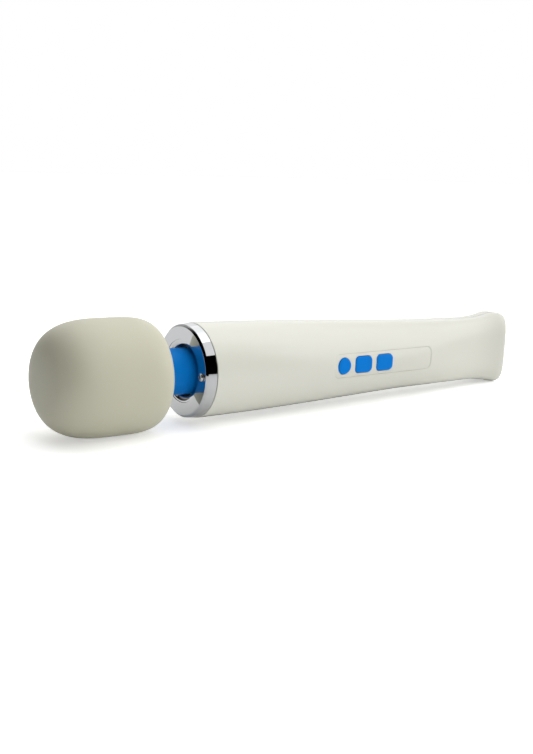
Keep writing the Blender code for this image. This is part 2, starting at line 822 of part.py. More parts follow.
def make_motor_body(make, axes, finish):
    """The motor's can, end bell, magnets, bushes and its two rubber mounts."""
    can_end = 0.150
    wall = 0.0018
    outline = [(MOTOR_START, 0.0052), (MOTOR_START, MOTOR_RADIUS - 0.001)]
    outline += [(MOTOR_START + 0.001, MOTOR_RADIUS), (can_end, MOTOR_RADIUS)]
    outline += [(can_end, MOTOR_RADIUS - wall), (MOTOR_START + wall, MOTOR_RADIUS - wall)]
    outline += [(MOTOR_START + wall, 0.0052)]
    axes.hang(make.turned("motor_can", outline, finish.steel), axes.wand)

    bell = [(can_end + GAP, 0.0052), (can_end + GAP, MOTOR_RADIUS)]
    bell += [(MOTOR_END - 0.001, MOTOR_RADIUS), (MOTOR_END, MOTOR_RADIUS - 0.001)]
    bell += [(MOTOR_END, 0.0052)]
    axes.hang(make.turned("motor_end_bell", bell, finish.nylon), axes.wand)

    bore = SHAFT_RADIUS + GAP
    for name, start in (("front", MOTOR_START), ("rear", MOTOR_END - 0.0047)):
        bush = make.turned(
            f"motor_bush_{name}", ring(bore, 0.0049, start, start + 0.0045), finish.brass
        )
        axes.hang(bush, axes.wand)

    for name, side in (("near", -1), ("far", 1)):
        outline = ring(0.0126, MOTOR_RADIUS - wall - GAP, 0.104, 0.142)
        magnet = make.turned(f"motor_magnet_{name}", outline, finish.ferrite, ROUND)
        low = -0.004 if side < 0 else -0.03
        cut = make.block(
            f"magnet_cut_{name}", (0.09, low, -0.03), (0.16, low + 0.034, 0.03)
        )
        combine(magnet, cut, "DIFFERENCE")
        for obj in (magnet, cut):
            axes.hang(obj, axes.wand)

    for name, start in (("front", 0.099), ("rear", 0.143)):
        end = start + 0.006
        outer = half_height(end) - SHELL_WALL - 0.0004
        outline = ring(MOTOR_RADIUS + GAP, outer, start, end)
        mount = make.turned(f"motor_mount_{name}", outline, finish.rubber)
        axes.hang(mount, axes.wand)


def make_rotor(make, axes, finish):
    """What spins in the motor, with the flexible coupling that reaches through the neck."""
    bore = SHAFT_RADIUS + GAP
    shaft = make.rod("motor_shaft", SHAFT_RADIUS, 0.086, 0.157, finish.steel)
    core = make.turned("armature", ring(bore, 0.0118, 0.106, 0.140), finish.copper)
    commutator = make.turned(
        "commutator", ring(bore, 0.006, 0.1425, 0.149), finish.brass
    )
    coupling = make.turned("flexible_coupling", ring(bore, 0.0046, 0.0645, 0.090), finish.rubber)
    for obj in (shaft, core, commutator, coupling):
        axes.hang(obj, axes.motor_spin)


# ---------------------------------------------------------------- the tail and the wires


def make_tail(make, axes, finish):
    """The flat plate in the tail's end, and the power inlet in its middle."""
    sections = [flat_ring(s, 0.0034) for s in (PLATE_START, LENGTH)]
    plate = make.loft("tail_plate", sections, finish.shell)
    hole = make.rod("inlet_hole", SOCKET_RADIUS + 0.0004, 0.30, 0.34)
    combine(plate, hole, "DIFFERENCE")
    mouth = LENGTH - GAP
    outline = [(SOCKET_START, 0.0), (SOCKET_START, SOCKET_RADIUS)]
    outline += [(mouth, SOCKET_RADIUS), (mouth, 0.0029), (SOCKET_START + 0.002, 0.0029)]
    outline += [(SOCKET_START + 0.002, 0.0)]
    socket = make.turned("inlet_socket", outline, finish.rubber)
    pin_start = SOCKET_START + 0.002 + GAP
    pin = make.rod("inlet_pin", 0.001, pin_start, mouth - 0.0015, finish.brass, 12)
    for obj in (plate, hole, socket, pin):
        axes.hang(obj, axes.wand)


def wire_route(start, end, count=14):
    """Points of a wire that leaves and arrives along the wand, in one easy curve."""
    points = []
    for step in range(count + 1):
        along = step / count
        bend = smooth(along)
        points.append(
            (
                start[0] + (end[0] - start[0]) * along,
                start[1] + (end[1] - start[1]) * bend,
                start[2] + (end[2] - start[2]) * bend,
            )
        )
    return points


def make_wires(make, axes, finish):
    """The two wires to the motor and the two from the inlet, each at its full length."""
    radius = 0.0007
    level = -BOARD_FACE + BOARD_WALL / 2
    for name, side, material in (("red", 1, finish.red_wire), ("black", -1, finish.black_wire)):
        motor_end = (MOTOR_END + 0.0004, -0.0125, side * 0.0045)
        board_end = (0.1596, level, side * 0.0045)
        wire = make.tube(
            f"motor_wire_{name}", wire_route(motor_end, board_end, 6), radius, material
        )
        axes.hang(wire, axes.wand)
        inlet_end = (SOCKET_START - 0.0004, 0.0, side * 0.002)
        board_end = (0.2554, level, side * 0.0045)
        wire = make.tube(
            f"inlet_wire_{name}", wire_route(board_end, inlet_end), radius, material
        )
        axes.hang(wire, axes.wand)


SLOPE = resting_slope()


def main():
    """Build the wand from head to tail."""
    clear_scene()
    parts = new_collection("wand_massager")
    cutters = new_collection("wand_cutters")
    cutters.hide_render = True
    make = Maker(parts, cutters)
    axes = Axes(parts)
    finish = Palette()
    make_head(make, axes, finish)
    make_weight_drive(make, axes, finish)
    make_neck(make, axes, finish)
    make_collar(make, axes, finish)
    shells = make_shells(make, axes, finish)
    make_panel(make, axes, finish, shells["front_shell"])
    make_keys(make, axes, finish)
    make_electronics(make, axes, finish)
    make_motor_body(make, axes, finish)
    make_rotor(make, axes, finish)
    make_tail(make, axes, finish)
    make_wires(make, axes, finish)
    bpy.context.view_layer.update()


main()
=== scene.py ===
"""Looks of the handheld wand massager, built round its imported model.

Every piece is shaped in the wand's own frame, where X runs along the axis from the tip of the
head (station 0) to the end of the tail, the buttons face -Y and Z is up. It is then laid in
the row frame, where the wand slopes a little, as it rests on its head and its flared tail.
"""

import json
import logging
import math
from collections.abc import Callable, Iterable, Sequence
from dataclasses import dataclass, field
from enum import Enum

import bmesh
import bpy
from bmesh.types import BMesh as Mesh
from bpy.types import Material, Node, NodeTree
from bpy.types import Object as Thing
from mathutils import Matrix, Vector

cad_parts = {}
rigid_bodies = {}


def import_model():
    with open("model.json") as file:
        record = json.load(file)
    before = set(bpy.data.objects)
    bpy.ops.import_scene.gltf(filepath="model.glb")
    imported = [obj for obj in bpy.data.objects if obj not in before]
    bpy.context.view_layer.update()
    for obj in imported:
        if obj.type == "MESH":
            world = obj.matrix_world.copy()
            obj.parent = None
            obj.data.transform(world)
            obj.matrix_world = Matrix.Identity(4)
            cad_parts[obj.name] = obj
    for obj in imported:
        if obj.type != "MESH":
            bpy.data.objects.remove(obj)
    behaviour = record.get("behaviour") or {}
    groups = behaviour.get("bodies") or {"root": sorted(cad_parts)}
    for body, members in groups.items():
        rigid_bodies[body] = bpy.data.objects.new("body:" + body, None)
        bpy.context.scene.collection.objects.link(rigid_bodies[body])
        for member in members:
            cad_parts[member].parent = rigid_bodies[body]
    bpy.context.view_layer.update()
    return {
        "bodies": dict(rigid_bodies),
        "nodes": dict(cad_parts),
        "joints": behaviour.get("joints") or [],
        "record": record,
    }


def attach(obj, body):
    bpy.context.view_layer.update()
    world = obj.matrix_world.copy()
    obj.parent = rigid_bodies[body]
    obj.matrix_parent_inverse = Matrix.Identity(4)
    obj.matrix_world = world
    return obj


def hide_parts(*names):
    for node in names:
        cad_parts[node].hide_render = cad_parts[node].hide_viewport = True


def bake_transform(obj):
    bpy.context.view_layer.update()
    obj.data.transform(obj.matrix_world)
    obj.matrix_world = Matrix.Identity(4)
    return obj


log = logging.getLogger("wand")

Colour = tuple[float, float, float]
Place = tuple[float, float, float]
Ring = Callable[[float], Vector]
Profile = list[tuple[float, float]]

MM = 0.001
MERGE = 0.000002


class Slot(Enum):
    """The record's material slots, one for each finish."""

    SILICONE = "cream_silicone"
    SHELL = "cream_shell"
    CHROME = "chrome"
    BLUE_RUBBER = "blue_rubber"
    BLUE_KEY = "blue_key"
    NYLON = "white_nylon"
    STEEL = "steel"
    BRASS = "brass"
    COPPER = "copper"
    FERRITE = "ferrite"
    BLACK_RUBBER = "black_rubber"
    BLACK_PLASTIC = "black_plastic"
    BOARD = "green_board"
    LENS = "frosted_lens"
    RED_WIRE = "red_wire"
    BLACK_WIRE = "black_wire"


class Side(Enum):
    """The two halves of the handle, by the sign of Y on their side."""

    FRONT = -1
    REAR = 1


# ---- the wand's own frame


@dataclass(frozen=True)
class WandFrame:
    """Where the wand's axis lies in the row frame."""

    tip: Vector
    along: Vector

    @classmethod
    def from_joints(cls, joints: Sequence[dict], station: float = 32 * MM) -> "WandFrame":
        """Read the axis from the joint of the weight that spins in the head.

        Args:
            joints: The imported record's joints.
            station: Station of that joint's own point.

        Returns:
            The frame of the whole wand.
        """
        spin = next(joint for joint in joints if joint["name"] == "weight_spin")
        along = Vector(spin["axis"]).normalized()
        return cls(Vector(spin["pos_m"]) - along * station, along)

    def matrix(self) -> Matrix:
        """The matrix that lays a piece made in the wand's frame into the row frame."""
        across = Vector((0.0, 1.0, 0.0))
        up = self.along.cross(across)
        turn = Matrix((self.along, across, up)).transposed()
        return Matrix.Translation(self.tip) @ turn.to_4x4()

    def point(self, station: float, y: float = 0.0, z: float = 0.0) -> Vector:
        """The row-frame place of a point given in the wand's frame."""
        return self.matrix() @ Vector((station, y, z))


@dataclass(frozen=True)
class HandleForm:
    """The handle's outside: a taper that flattens and flares towards the tail."""

    start: float = 86.7 * MM
    end: float = 324.0 * MM
    radius: float = 25.5 * MM
    waist: float = 20.0 * MM
    waist_station: float = 300.0 * MM
    flare_start: float = 293.0 * MM
    flare_length: float = 26.0 * MM
    flare_rise: float = 2.9 * MM
    flare_power: float = 2.2
    flat_start: float = 225.0 * MM
    flat_length: float = 94.0 * MM
    squeeze: float = 0.44
    bulge: float = 4.2
    rim_round: float = 2.2 * MM

    @staticmethod
    def ease(share: float) -> float:
        """A smooth step from 0 to 1."""
        share = min(max(share, 0.0), 1.0)
        return share * share * (3.0 - 2.0 * share)

    def half_height(self, station: float) -> float:
        """Half of the handle's height at a station."""
        taper = self.ease((station - self.start) / (self.waist_station - self.start))
        share = min(max((station - self.flare_start) / self.flare_length, 0.0), 1.0)
        drop = (self.radius - self.waist) * taper
        return self.radius - drop + self.flare_rise * share**self.flare_power

    def flatness(self, station: float) -> float:
        """How far the round section has turned into the flattened one, from 0 to 1."""
        return self.ease((station - self.flat_start) / self.flat_length)

    def half_depth(self, station: float) -> float:
        """Half of the handle's depth at a station, from the button side to the back."""
        return self.half_height(station) * (1.0 - self.squeeze * self.flatness(station))

    def rim_inset(self, station: float) -> float:
        """How far the rounded rim at the tail pulls the outside in at a station."""
        past = min(max(station - (self.end - self.rim_round), 0.0), self.rim_round)
        return self.rim_round - math.sqrt(self.rim_round**2 - past**2)

    def around(self, station: float, inset: float, share: float) -> Vector:
        """A point of a closed section.

        Args:
            station: Station along the wand.
            inset: How far inside the outside the section lies.
            share: Way round the section, from 0 to 1, starting at the back.

        Returns:
            The point, in the wand's frame.
        """
        height = self.half_height(station) - self.rim_inset(station) - inset
        depth = self.half_depth(station) - self.rim_inset(station) - inset
        power = 2.0 / (2.0 + (self.bulge - 2.0) * self.flatness(station))
        turn = 2.0 * math.pi * share
        y = math.copysign(depth * abs(math.cos(turn)) ** power, math.cos(turn))
        z = math.copysign(height * abs(math.sin(turn)) ** power, math.sin(turn))
        return Vector((station, y, z))

    def ring(self, station: float, inset: float, size: float | None = None) -> Ring:
        """A closed section at a station, of the size at another station if that is given.

        Args:
            station: Station along the wand.
            inset: How far inside the outside the section lies.
            size: Station whose section it takes.

        Returns:
            The function that gives its point at a share of the way round.
        """

        def point(share: float) -> Vector:
            """The point at a share of the way round."""
            place = self.around(station if size is None else size, inset, share)
            return Vector((station, place.y, place.z))

        return point


# ---- steps at the bench


class Bench:
    """The modelling steps that every sub-assembly uses, made with Blender's operators."""

    def __init__(self, frame: WandFrame, palette: "Palette") -> None:
        """Keep the frame that finished pieces are laid into, and their materials."""
        self.frame = frame
        self.palette = palette

    @staticmethod
    def clear() -> None:
        """Leave edit mode and deselect everything."""
        if bpy.context.object and bpy.context.object.mode != "OBJECT":
            bpy.ops.object.mode_set(mode="OBJECT")
        bpy.ops.object.select_all(action="DESELECT")

    @classmethod
    def pick(cls, *objects: Thing) -> None:
        """Select these objects alone, the first of them active."""
        cls.clear()
        for obj in objects:
            obj.select_set(True)
        bpy.context.view_layer.objects.active = objects[0]

    @classmethod
    def edit(cls, obj: Thing, mode: str = "VERT") -> Mesh:
        """Open an object in edit mode, with nothing selected.

        Args:
            obj: The object to edit.
            mode: VERT, EDGE or FACE.

        Returns:
            The mesh under edit.
        """
        cls.pick(obj)
        bpy.ops.object.mode_set(mode="EDIT")
        bpy.ops.mesh.select_mode(type=mode)
        bpy.ops.mesh.select_all(action="DESELECT")
        return bmesh.from_edit_mesh(obj.data)

    @staticmethod
    def choose(items: Iterable, test: Callable[..., bool]) -> None:
        """Select, of these vertices, edges or faces, those that pass the test."""
        for item in items:
            if test(item):
                item.select_set(True)

    @staticmethod
    def close_edit() -> None:
        """Merge doubles, turn the faces outwards and leave edit mode."""
        bpy.ops.mesh.select_all(action="SELECT")
        bpy.ops.mesh.remove_doubles(threshold=MERGE)
        bpy.ops.mesh.normals_make_consistent(inside=False)
        bpy.ops.object.mode_set(mode="OBJECT")

    @staticmethod
    def name(name: str) -> Thing:
        """Name the active object and its mesh."""
        obj = bpy.context.object
        obj.name = name
        obj.data.name = name
        return obj

    @classmethod
    def settle(cls, obj: Thing) -> Thing:
        """Apply an object's place, turn and size to its mesh."""
        cls.pick(obj)
        bpy.ops.object.transform_apply(location=True, rotation=True, scale=True)
        return obj

    @classmethod
    def modify(cls, obj: Thing, kind: str, **settings: object) -> None:
        """Add a modifier with these settings and apply it."""
        cls.pick(obj)
        modifier = obj.modifiers.new(kind.lower(), kind)
        for key, value in settings.items():
            setattr(modifier, key, value)
        bpy.ops.object.modifier_apply(modifier=modifier.name)

    @classmethod
    def cut(cls, obj: Thing, tool: Thing, operation: str) -> None:
        """Combine an object with a tool by an exact Boolean, and remove the tool."""
        cls.modify(obj, "BOOLEAN", object=tool, operation=operation, solver="EXACT")
        bpy.data.objects.remove(tool)

    @classmethod
    def soften(cls, obj: Thing, width: float, segments: int = 2) -> None:
        """Round the sharp edges by a width, in a few segments."""
        sharp = {"limit_method": "ANGLE", "angle_limit": math.radians(50)}
        cls.modify(obj, "BEVEL", width=width, segments=segments, miter_outer="MITER_ARC", **sharp)

    @classmethod
    def turned(cls, name: str, profile: Profile, steps: int = 96, closed: bool = True) -> Thing:
        """Turn a piece about the wand's axis.

        Args:
            name: The piece's name.
            profile: Points (station, radius), in order round the outline.
            steps: Steps in the whole turn.
            closed: Whether the last point joins the first.

        Returns:
            The turned piece, in the wand's frame.
        """
        cls.clear()
        bpy.ops.mesh.primitive_plane_add(size=1.0 * MM)
        obj = cls.name(name)
        bpy.ops.object.mode_set(mode="EDIT")
        bpy.ops.mesh.select_mode(type="VERT")
        bpy.ops.mesh.select_all(action="SELECT")
        bpy.ops.mesh.merge(type="CENTER")
        places = [Vector((station, 0.0, radius)) for station, radius in profile]
        bpy.ops.transform.translate(value=places[0])
        for last, place in zip(places, places[1:]):
            bpy.ops.mesh.extrude_region_move(TRANSFORM_OT_translate={"value": place - last})
        if closed:
            mesh = bmesh.from_edit_mesh(obj.data)
            mesh.verts.ensure_lookup_table()
            mesh.verts[0].select_set(True)
            bpy.ops.mesh.edge_face_add()
        bpy.ops.mesh.select_all(action="SELECT")
        bpy.ops.mesh.spin(
            steps=steps, angle=2.0 * math.pi, center=(0.0, 0.0, 0.0), axis=(1.0, 0.0, 0.0)
        )
        cls.close_edit()
        return obj

    @classmethod
    def slab(
        cls, name: str, low: Vector, high: Vector, corner: float = 0.0, rounding: int = 8
    ) -> Thing:
        """A block between two corners, the edges along Y rounded.

        Args:
            name: The piece's name.
            low: Lowest corner.
            high: Highest corner.
            corner: Radius of the rounded edges.
            rounding: Segments in each rounded edge.

        Returns:
            The block, in the wand's frame.
        """
        cls.clear()
        low, high = Vector(low), Vector(high)
        bpy.ops.mesh.primitive_cube_add(size=1.0, location=(low + high) / 2)
        obj = cls.name(name)
        obj.scale = high - low
        cls.settle(obj)
        if corner > 0.0:
            mesh = cls.edit(obj, "EDGE")
            cls.choose(
                mesh.edges,
                lambda edge: abs(edge.verts[0].co.y - edge.verts[1].co.y) > corner / 9,
            )
            bpy.ops.mesh.bevel(offset=corner, segments=rounding, affect="EDGES")
            cls.close_edit()
        return obj

    @classmethod
    def rod(cls, name: str, radius: float, start: Vector, end: Vector, sides: int = 48) -> Thing:
        """A cylinder between two points, along X or Y.

        Args:
            name: The piece's name.
            radius: Its radius.
            start: Middle of one end.
            end: Middle of the other end.
            sides: Sides of the cylinder.

        Returns:
            The cylinder, in the wand's frame.
        """
        cls.clear()
        start, end = Vector(start), Vector(end)
        way = end - start
        turn = (0.0, math.pi / 2, 0.0) if abs(way.x) > abs(way.y) else (math.pi / 2, 0.0, 0.0)
        bpy.ops.mesh.primitive_cylinder_add(
            vertices=sides,
            radius=radius,
            depth=way.length,
            location=(start + end) / 2,
            rotation=turn,
        )
        return cls.settle(cls.name(name))

    @classmethod
    def rolled(cls, name: str, rings: Sequence[Ring], sides: int) -> Thing:
        """A grid rolled into a tube whose last ring meets its first, as a wall all round.

        Args:
            name: The piece's name.
            rings: For each ring, the point at a share of the way round.
            sides: Points round a ring.

        Returns:
            The closed wall, in the wand's frame.
        """
        cls.clear()
        count = len(rings) + 1
        bpy.ops.mesh.primitive_grid_add(x_subdivisions=count - 1, y_subdivisions=sides, size=2.0)
        obj = cls.name(name)
        for vertex in obj.data.vertices:
            ring = round((vertex.co.x + 1.0) / 2.0 * (count - 1)) % (count - 1)
            share = round((vertex.co.y + 1.0) / 2.0 * sides) % sides / sides
            vertex.co = rings[ring](share)
        cls.edit(obj)
        cls.close_edit()
        return obj

    @classmethod
    def screw(
        cls, name: str, profile: Profile, blade: tuple[float, float], depth: float, edge: float
    ) -> Thing:
        """A screw on the wand's axis, with a cross recess in its head.

        Args:
            name: The screw's name.
            profile: Its outline, from the middle of its head.
            blade: Half of the recess's width and of its length.
            depth: Station of the recess's bottom.
            edge: Width of its softened edges.

        Returns:
            The screw.
        """
        screw = cls.turned(name, profile, 32, closed=False)
        for y, z in (blade, blade[::-1]):
            low, high = Vector((profile[0][0] - 1.8 * MM, -y, -z)), Vector((depth, y, z))
            cls.cut(screw, cls.slab("cross_blade", low, high), "DIFFERENCE")
        cls.soften(screw, edge, 1)
        return screw

    @classmethod
    def twin(cls, obj: Thing, name: str, shift: Vector) -> Thing:
        """Copy a piece, with its own mesh, to another place."""
        cls.pick(obj)
        bpy.ops.object.duplicate(linked=False)
        copy = cls.name(name)
        copy.location = Vector(shift)
        return cls.settle(copy)

    def lay(
        self, obj: Thing, slot: Slot, node: str, body: str = "", smooth: float = 35.0
    ) -> None:
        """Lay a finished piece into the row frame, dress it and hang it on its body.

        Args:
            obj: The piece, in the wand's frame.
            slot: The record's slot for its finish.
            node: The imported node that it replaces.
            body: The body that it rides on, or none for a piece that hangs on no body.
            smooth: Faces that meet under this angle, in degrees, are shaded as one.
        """
        obj.matrix_world = self.frame.matrix()
        self.settle(obj)
        bpy.ops.object.shade_smooth_by_angle(angle=math.radians(smooth))
        obj.data.materials.clear()
        obj.data.materials.append(self.palette[slot])
        if body:
            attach(obj, body)
        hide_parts(node)
        log.info("%s: %d faces", obj.name, len(obj.data.polygons))


# ---- shared effects


class Nodes:
    """A small hand for wiring shader nodes in one tree."""

    def __init__(self, tree: NodeTree) -> None:
        """Work in this tree."""
        self.tree = tree

    def add(
        self, kind: str, at: dict[int | str, object] | None = None, **settings: object
    ) -> Node:
        """Add a node.

        Args:
            kind: The node's type, without the shader prefix.
            at: Values for its input sockets, by name or number.
            settings: Values for its own settings.

        Returns:
            The node.
        """
        node = self.tree.nodes.new(kind if kind.startswith("Node") else f"ShaderNode{kind}")
        for key, value in settings.items():
            setattr(node, key, value)
        self.fill(node, at or {})
        return node

    @staticmethod
    def fill(node: Node, at: dict[int | str, object]) -> None:
        """Set the values of a node's input sockets, by name or number."""
        for key, value in at.items():
            node.inputs[key].default_value = value

    def link(self, source: Node, output: int | str, target: Node, entry: int | str) -> None:
        """Join an output of one node to an input of another."""
        self.tree.links.new(source.outputs[output], target.inputs[entry])


class Effects:
    """The shader node groups that several finishes share, each built once."""

    def __init__(self) -> None:
        """Build the groups."""
        self.grain = self.build_grain()
        self.handling = self.build_handling()
        self.turning = self.build_turning()

    @staticmethod
    def start(
        name: str, inputs: dict[str, float], outputs: Sequence[str]
    ) -> tuple[Nodes, Node, Node, Node]:
        """Start a group with float sockets.

        Args:
            name: The group's name.
            inputs: Its inputs and their values.
            outputs: Its outputs.

        Returns:
            The hand that wires it, its input and output nodes, and the object's coordinates.
        """
        tree = bpy.data.node_groups.new(name, "ShaderNodeTree")
        for way, sockets in (("INPUT", inputs), ("OUTPUT", outputs)):
            for socket in sockets:
                made = tree.interface.new_socket(
                    socket, in_out=way, socket_type="NodeSocketFloat"
                )
                if way == "INPUT":
                    made.default_value = inputs[socket]
        hand = Nodes(tree)
        return hand, hand.add("NodeGroupInput"), hand.add("NodeGroupOutput"), hand.add("TexCoord")

    def build_grain(self) -> NodeTree:
        """Fine moulded grain: a height for a bump, and a mask that varies a little.

        Returns:
            The group, with input Scale and outputs Height and Mask.
        """
        inputs, outputs = {"Scale": 900.0}, ("Height", "Mask")
        hand, entry, leave, place = self.start("moulded_grain", inputs, outputs)
        fine = hand.add("TexNoise", {"Detail": 3.0, "Roughness": 0.6})
        broad = hand.add("TexNoise", {"Scale": 38.0, "Detail": 4.0, "Roughness": 0.55})
        hand.link(place, "Object", fine, "Vector")
        hand.link(place, "Object", broad, "Vector")
        hand.link(entry, "Scale", fine, "Scale")
        hand.link(fine, "Fac", leave, "Height")
        hand.link(broad, "Fac", leave, "Mask")
        return hand.tree

    def build_handling(self) -> NodeTree:
        """Marks of handling: faint smears that change the roughness from place to place.

        Returns:
            The group, with inputs Roughness and Spread and output Roughness.
        """
        inputs = {"Roughness": 0.2, "Spread": 0.04}
        hand, entry, leave, place = self.start("handling_marks", inputs, ("Roughness",))
        stretch = hand.add("Mapping", {"Scale": (0.45, 1.0, 1.0)})
        smear = hand.add("TexNoise", {"Scale": 55.0, "Detail": 5.0, "Roughness": 0.6})
        centred = hand.add("Math", {1: 0.5}, operation="SUBTRACT")
        spread = hand.add("Math", operation="MULTIPLY_ADD")
        hand.link(place, "Object", stretch, "Vector")
        hand.link(stretch, "Vector", smear, "Vector")
        hand.link(smear, "Fac", centred, 0)
        hand.link(centred, 0, spread, 0)
        hand.link(entry, "Spread", spread, 1)
        hand.link(entry, "Roughness", spread, 2)
        hand.link(spread, 0, leave, "Roughness")
        return hand.tree

    def build_turning(self) -> NodeTree:
        """Fine tool lines round the wand's axis, as turning or polishing leaves them.

        Returns:
            The group, with input Pitch, in lines a metre, and output Height.
        """
        hand, entry, leave, place = self.start("turned_lines", {"Pitch": 2500.0}, ("Height",))
        stretch = hand.add("Mapping", {"Scale": (1.0, 0.03, 0.03)})
        lines = hand.add("TexNoise", {"Detail": 2.0, "Roughness": 0.5})
        hand.link(place, "Object", stretch, "Vector")
        hand.link(stretch, "Vector", lines, "Vector")
        hand.link(entry, "Pitch", lines, "Scale")
        hand.link(lines, "Fac", leave, "Height")
        return hand.tree


# ---- finishes


@dataclass(frozen=True)
class Finish:
    """One material: its colour, gloss and grain.

    Attributes:
        second: Colour that the main one drifts to in patches.
        spread: How far handling marks change the roughness.
        metallic: 1 for a bare metal.
        grain_scale: Grain cells in a metre.
        grain_depth: Depth of the grain, in metres.
        turned: Whether fine tool lines run round the axis in place of the grain.
        sheen: Weight of a soft sheen.
        clarity: Share of light let through.
        gloss: Strength of the reflections of a finish that isn't metal.
    """

    slot: Slot
    colour: Colour
    second: Colour
    roughness: float
    spread: float = 0.05
    metallic: float = 0.0
    grain_scale: float = 900.0
    grain_depth: float = 0.00002
    turned: bool = False
    sheen: float = 0.0
    clarity: float = 0.0
    gloss: float = 0.5

    def build(self, effects: Effects) -> Material:
        """Build the material from the shared effects.

        Args:
            effects: The shader node groups.

        Returns:
            The material, named for its slot.
        """
        material = bpy.data.materials.new(f"look_{self.slot.value}")
        material.use_nodes = True
        hand = Nodes(material.node_tree)
        shader = material.node_tree.nodes["Principled BSDF"]
        settings = {
            "Metallic": self.metallic,
            "Sheen Weight": self.sheen,
            "Sheen Roughness": 0.4,
            "Transmission Weight": self.clarity,
            "Specular IOR Level": self.gloss,
        }
        hand.fill(shader, settings)
        self.wire_colour(hand, effects, shader)
        self.wire_surface(hand, effects, shader)
        material.diffuse_color = (*self.colour, 1.0)
        return material

    def wire_colour(self, hand: Nodes, effects: Effects, shader: Node) -> None:
        """Mix the two colours by the broad mask of the grain."""
        grain = hand.add("Group", node_tree=effects.grain)
        mix = hand.add("Mix", data_type="RGBA")
        hand.fill(mix, {6: (*self.colour, 1.0), 7: (*self.second, 1.0)})
        hand.link(grain, "Mask", mix, 0)
        hand.link(mix, 2, shader, "Base Color")

    def wire_surface(self, hand: Nodes, effects: Effects, shader: Node) -> None:
        """Wire the handling marks to the roughness and the grain or tool lines to a bump."""
        marks = hand.add("Group", node_tree=effects.handling)
        hand.fill(marks, {"Roughness": self.roughness, "Spread": self.spread})
        hand.link(marks, "Roughness", shader, "Roughness")
        bump = hand.add("Bump", {"Strength": 0.6, "Distance": self.grain_depth})
        relief = hand.add("Group", node_tree=effects.turning if self.turned else effects.grain)
        if not self.turned:
            hand.fill(relief, {"Scale": self.grain_scale})
        hand.link(relief, "Height", bump, "Height")
        hand.link(bump, "Normal", shader, "Normal")


FINISHES = (
    Finish(
        Slot.SILICONE, (0.535, 0.525, 0.405), (0.550, 0.540, 0.422), 0.52, 0.06,
        grain_scale=2600.0, grain_depth=0.00003, sheen=0.12,
    ),
    Finish(
        Slot.SHELL, (0.725, 0.725, 0.645), (0.740, 0.740, 0.662), 0.15, 0.03,
        grain_scale=420.0, grain_depth=0.000004, gloss=0.38,
    ),
    Finish(
        Slot.CHROME, (0.500, 0.510, 0.520), (0.525, 0.530, 0.535), 0.035, 0.02, 1.0,
        grain_depth=0.000002, turned=True,
    ),
    Finish(
        Slot.BLUE_RUBBER, (0.001, 0.190, 0.630), (0.001, 0.202, 0.660), 0.40, 0.06,
        grain_scale=2200.0, grain_depth=0.00002, gloss=0.08,
    ),
    Finish(
        Slot.BLUE_KEY, (0.000, 0.205, 0.710), (0.001, 0.215, 0.740), 0.32, 0.05,
        grain_scale=3000.0, grain_depth=0.00001, gloss=0.05,
    ),
    Finish(Slot.NYLON, (0.66, 0.66, 0.63), (0.71, 0.71, 0.69), 0.45),
    Finish(
        Slot.STEEL, (0.50, 0.51, 0.53), (0.60, 0.61, 0.63), 0.26, 0.08, 1.0,
        grain_depth=0.000004, turned=True,
    ),
    Finish(
        Slot.BRASS, (0.66, 0.50, 0.22), (0.74, 0.60, 0.30), 0.30, 0.08, 1.0,
        grain_depth=0.000004, turned=True,
    ),
    Finish(Slot.COPPER, (0.70, 0.34, 0.18), (0.78, 0.42, 0.26), 0.36, 0.08, 1.0),
    Finish(Slot.FERRITE, (0.045, 0.045, 0.045), (0.070, 0.068, 0.066), 0.60, 0.08),
    Finish(Slot.BLACK_RUBBER, (0.022, 0.022, 0.022), (0.034, 0.034, 0.033), 0.62, 0.08),
    Finish(Slot.BLACK_PLASTIC, (0.018, 0.018, 0.019), (0.028, 0.028, 0.029), 0.34, 0.06),
    Finish(Slot.BOARD, (0.020, 0.170, 0.075), (0.030, 0.210, 0.095), 0.38, 0.06),
    Finish(Slot.LENS, (0.80, 0.82, 0.84), (0.84, 0.86, 0.88), 0.22, 0.04, clarity=0.6),
    Finish(Slot.RED_WIRE, (0.46, 0.020, 0.018), (0.53, 0.030, 0.026), 0.42, 0.06),
    Finish(Slot.BLACK_WIRE, (0.016, 0.016, 0.016), (0.026, 0.026, 0.026), 0.42, 0.06),
)


class Palette:
    """Every finish's material, by its slot."""

    def __init__(self) -> None:
        """Build the shared effects, then each material."""
        effects = Effects()
        self.materials = {finish.slot: finish.build(effects) for finish in FINISHES}

    def __getitem__(self, slot: Slot) -> Material:
        """The material of a slot."""
        return self.materials[slot]

    def dress_nodes(self, record: dict, nodes: dict[str, Thing]) -> None:
        """Give every carried-over node the material of its slot.

        Args:
            record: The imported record.
            nodes: The model's own pieces, by name.
        """
        for part in record["subparts"]:
            obj = nodes[part["node"]]
            slot = Slot(part["material_slot"])
            obj.data.materials.clear()
            obj.data.materials.append(self[slot])


# ---- the head


